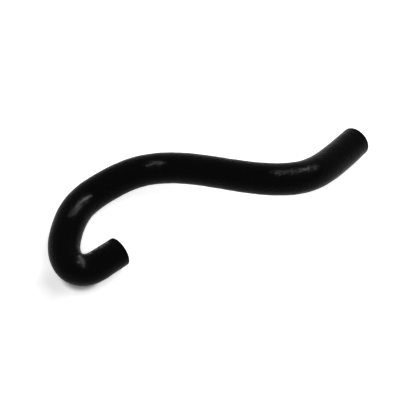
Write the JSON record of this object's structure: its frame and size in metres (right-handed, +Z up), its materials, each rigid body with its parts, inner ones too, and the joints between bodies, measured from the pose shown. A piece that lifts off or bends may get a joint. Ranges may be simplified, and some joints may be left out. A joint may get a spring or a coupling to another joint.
{
  "type": "breather hose",
  "caption": "Moulded black rubber breather hose: an even bore, a tight hook, a long swept arm and square-cut open ends that push onto pipe spigots.",
  "frame": {"origin": "middle of the underside of the hose's own box, as the hose lies at rest on a flat surface", "axes": "+Z up, away from the surface that the hose lies on; +X along its longest side, the way the hook's short leg and the arm's far end both face; +Y by the right-hand rule, towards the outside of the hook"},
  "size_m": [0.2512, 0.1238, 0.0433],
  "materials": {
    "rubber": "satin black moulded rubber with a faint mottle"
  },
  "bodies": {
    "root": {"breather_hose": "rubber"}
  },
  "joints": []
}
